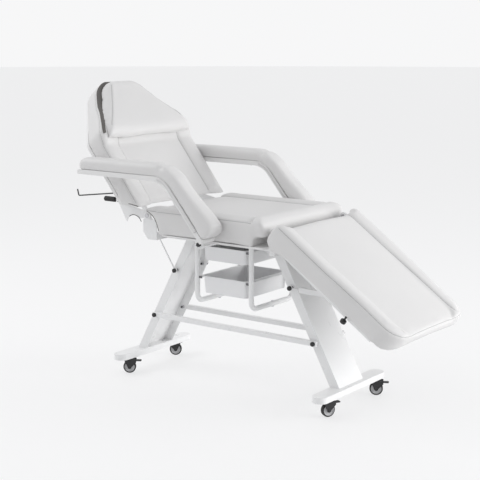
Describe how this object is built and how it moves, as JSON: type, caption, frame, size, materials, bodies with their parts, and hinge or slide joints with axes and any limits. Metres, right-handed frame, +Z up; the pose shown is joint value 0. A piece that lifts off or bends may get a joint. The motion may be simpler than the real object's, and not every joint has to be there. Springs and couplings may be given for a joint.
{
  "type": "tattoo chair",
  "caption": "Three-section treatment chair with a reclining back, head pillow and lifting legrest on slanted steel legs, with sliding trays, lift-off armrests and castered bars.",
  "frame": {"origin": "on the floor, at the middle of the chair's overall box", "axes": "+X towards the foot end, +Y towards the far side (lever side is -Y), +Z up"},
  "size_m": [1.6897, 0.784, 1.2823],
  "materials": {
    "upholstery": "satin",
    "frame_paint": "gloss",
    "steel": "satin",
    "pale_board": "matte",
    "tray_plastic": "gloss",
    "black_plastic": "satin",
    "dark_wire": "satin",
    "tyre": "matte",
    "rim": "satin",
    "grip": "matte"
  },
  "bodies": {
    "bed": {"base_bar_head": "frame_paint", "base_bar_foot": "frame_paint", "leg_head": "frame_paint", "leg_foot": "frame_paint", "side_rail_near": "frame_paint", "side_rail_far": "frame_paint", "seat_frame": "frame_paint", "seat_board": "pale_board", "seat_cushion": "upholstery", "hinge_pins": "steel", "frame_bolts": "black_plastic", "leg_nuts": "steel", "plate_bolts": "steel", "caster_stems": "steel", "tray_hanger_head": "frame_paint", "tray_hanger_foot": "frame_paint", "tray_runners": "frame_paint", "runner_caps": "black_plastic", "armrest_sockets": "frame_paint"},
    "upper_tray": {"upper_tray": "tray_plastic"},
    "lower_tray": {"lower_tray": "tray_plastic"},
    "backrest": {"back_frame": "frame_paint", "back_board": "pale_board", "back_cushion": "upholstery", "head_pillow": "upholstery", "roll_holder_arms": "dark_wire"},
    "release_lever": {"release_lever": "dark_wire", "lever_grip": "grip"},
    "legrest": {"legrest_frame": "frame_paint", "legrest_board": "pale_board", "legrest_cushion": "upholstery"},
    "legrest_knob": {"legrest_knob": "black_plastic"},
    "back_stay_rods": {"back_stay_rods": "frame_paint"},
    "back_stay_guides": {"back_stay_guides": "frame_paint"},
    "legrest_stay_rods": {"legrest_stay_rods": "frame_paint"},
    "legrest_stay_guides": {"legrest_stay_guides": "frame_paint"},
    "armrest_near": {"armrest_near_cushion": "upholstery", "armrest_near_board": "pale_board", "armrest_near_bracket": "frame_paint"},
    "armrest_near_knob": {"armrest_near_knob": "black_plastic"},
    "armrest_far": {"armrest_far_cushion": "upholstery", "armrest_far_board": "pale_board", "armrest_far_bracket": "frame_paint"},
    "armrest_far_knob": {"armrest_far_knob": "black_plastic"},
    "caster_head_near_housing": {"caster_head_near_housing": "black_plastic"},
    "caster_head_near_wheel": {"caster_head_near_rim": "rim", "caster_head_near_tyre": "tyre"},
    "caster_head_near_pedal": {"caster_head_near_pedal": "black_plastic"},
    "caster_head_far_housing": {"caster_head_far_housing": "black_plastic"},
    "caster_head_far_wheel": {"caster_head_far_rim": "rim", "caster_head_far_tyre": "tyre"},
    "caster_head_far_pedal": {"caster_head_far_pedal": "black_plastic"},
    "caster_foot_near_housing": {"caster_foot_near_housing": "black_plastic"},
    "caster_foot_near_wheel": {"caster_foot_near_rim": "rim", "caster_foot_near_tyre": "tyre"},
    "caster_foot_near_pedal": {"caster_foot_near_pedal": "black_plastic"},
    "caster_foot_far_housing": {"caster_foot_far_housing": "black_plastic"},
    "caster_foot_far_wheel": {"caster_foot_far_rim": "rim", "caster_foot_far_tyre": "tyre"},
    "caster_foot_far_pedal": {"caster_foot_far_pedal": "black_plastic"}
  },
  "joints": [
    {"name": "backrest_tilt", "type": "hinge", "parent": "bed", "child": "backrest", "pos_m": [-0.38431, 0, 0.728], "axis": [0, 1, 0], "range_deg": [-51.4, 18]},
    {"name": "legrest_lift", "type": "hinge", "parent": "bed", "child": "legrest", "pos_m": [0.28369, 0, 0.728], "axis": [0, -1, 0], "range_deg": [-5, 35]},
    {"name": "back_stay_swing", "type": "hinge", "parent": "bed", "child": "back_stay_rods", "pos_m": [-0.35069, 0, 0.474], "axis": [0, 1, 0], "range_deg": [-26, 10]},
    {"name": "back_stay_guide_swing", "type": "hinge", "parent": "backrest", "child": "back_stay_guides", "pos_m": [-0.60438, 0, 0.85942], "axis": [0, 1, 0], "range_deg": [-10, 26]},
    {"name": "legrest_stay_swing", "type": "hinge", "parent": "bed", "child": "legrest_stay_rods", "pos_m": [0.25006, 0, 0.474], "axis": [0, -1, 0], "range_deg": [-5, 29]},
    {"name": "legrest_stay_guide_swing", "type": "hinge", "parent": "legrest", "child": "legrest_stay_guides", "pos_m": [0.52909, 0, 0.46827], "axis": [0, -1, 0], "range_deg": [-9, 2]},
    {"name": "release_lever_pull", "type": "hinge", "parent": "backrest", "child": "release_lever", "pos_m": [-0.5623, 0, 0.77785], "axis": [0, -1, 0], "range_deg": [0, 20], "stiffness_Nm_per_rad": 1, "springref_deg": -11.46},
    {"name": "upper_tray_slide", "type": "slide", "parent": "bed", "child": "upper_tray", "axis": [0, -1, 0], "range_m": [0, 0.22]},
    {"name": "lower_tray_slide", "type": "slide", "parent": "bed", "child": "lower_tray", "axis": [0, -1, 0], "range_m": [0, 0.22]},
    {"name": "legrest_knob_turn", "type": "hinge", "parent": "legrest", "child": "legrest_knob", "pos_m": [0.62117, -0.276, 0.44286], "axis": [0.5736, 0, 0.8192], "continuous": true},
    {"name": "armrest_near_lift", "type": "slide", "parent": "bed", "child": "armrest_near", "axis": [0, 0, 1], "range_m": [0, 0.05]},
    {"name": "armrest_near_knob_turn", "type": "hinge", "parent": "bed", "child": "armrest_near_knob", "pos_m": [-0.01231, -0.367, 0.661], "axis": [0, -1, 0], "continuous": true},
    {"name": "armrest_far_lift", "type": "slide", "parent": "bed", "child": "armrest_far", "axis": [0, 0, 1], "range_m": [0, 0.05]},
    {"name": "armrest_far_knob_turn", "type": "hinge", "parent": "bed", "child": "armrest_far_knob", "pos_m": [-0.01231, 0.367, 0.661], "axis": [0, 1, 0], "continuous": true},
    {"name": "caster_head_near_swivel", "type": "hinge", "parent": "bed", "child": "caster_head_near_housing", "pos_m": [-0.57031, -0.184, 0.068], "axis": [0, 0, 1], "continuous": true},
    {"name": "caster_head_near_roll", "type": "hinge", "parent": "caster_head_near_housing", "child": "caster_head_near_wheel", "pos_m": [-0.55737, -0.1746, 0.028], "axis": [-0.5878, 0.809, 0], "continuous": true},
    {"name": "caster_head_near_brake", "type": "hinge", "parent": "caster_head_near_housing", "child": "caster_head_near_pedal", "pos_m": [-0.53714, -0.1599, 0.053], "axis": [-0.5878, 0.809, 0], "range_deg": [0, 16]},
    {"name": "caster_head_far_swivel", "type": "hinge", "parent": "bed", "child": "caster_head_far_housing", "pos_m": [-0.57031, 0.184, 0.068], "axis": [0, 0, 1], "continuous": true},
    {"name": "caster_head_far_roll", "type": "hinge", "parent": "caster_head_far_housing", "child": "caster_head_far_wheel", "pos_m": [-0.58326, 0.1746, 0.028], "axis": [0.5878, -0.809, 0], "continuous": true},
    {"name": "caster_head_far_brake", "type": "hinge", "parent": "caster_head_far_housing", "child": "caster_head_far_pedal", "pos_m": [-0.60348, 0.1599, 0.053], "axis": [0.5878, -0.809, 0], "range_deg": [0, 16]},
    {"name": "caster_foot_near_swivel", "type": "hinge", "parent": "bed", "child": "caster_foot_near_housing", "pos_m": [0.46969, -0.184, 0.068], "axis": [0, 0, 1], "continuous": true},
    {"name": "caster_foot_near_roll", "type": "hinge", "parent": "caster_foot_near_housing", "child": "caster_foot_near_wheel", "pos_m": [0.4772, -0.16987, 0.028], "axis": [-0.8829, 0.4695, 0], "continuous": true},
    {"name": "caster_foot_near_brake", "type": "hinge", "parent": "caster_foot_near_housing", "child": "caster_foot_near_pedal", "pos_m": [0.48893, -0.1478, 0.053], "axis": [-0.8829, 0.4695, 0], "range_deg": [0, 16]},
    {"name": "caster_foot_far_swivel", "type": "hinge", "parent": "bed", "child": "caster_foot_far_housing", "pos_m": [0.46969, 0.184, 0.068], "axis": [0, 0, 1], "continuous": true},
    {"name": "caster_foot_far_roll", "type": "hinge", "parent": "caster_foot_far_housing", "child": "caster_foot_far_wheel", "pos_m": [0.48354, 0.192, 0.028], "axis": [-0.5, 0.866, 0], "continuous": true},
    {"name": "caster_foot_far_brake", "type": "hinge", "parent": "caster_foot_far_housing", "child": "caster_foot_far_pedal", "pos_m": [0.50519, 0.2045, 0.053], "axis": [-0.5, 0.866, 0], "range_deg": [0, 16]}
  ],
  "couplings": [
    {"joint": "back_stay_swing", "follows": "backrest_tilt", "ratio": 0.5},
    {"joint": "back_stay_guide_swing", "follows": "backrest_tilt", "ratio": -0.5},
    {"joint": "legrest_stay_swing", "follows": "legrest_lift", "ratio": 0.775},
    {"joint": "legrest_stay_guide_swing", "follows": "legrest_lift", "ratio": -0.225}
  ]
}
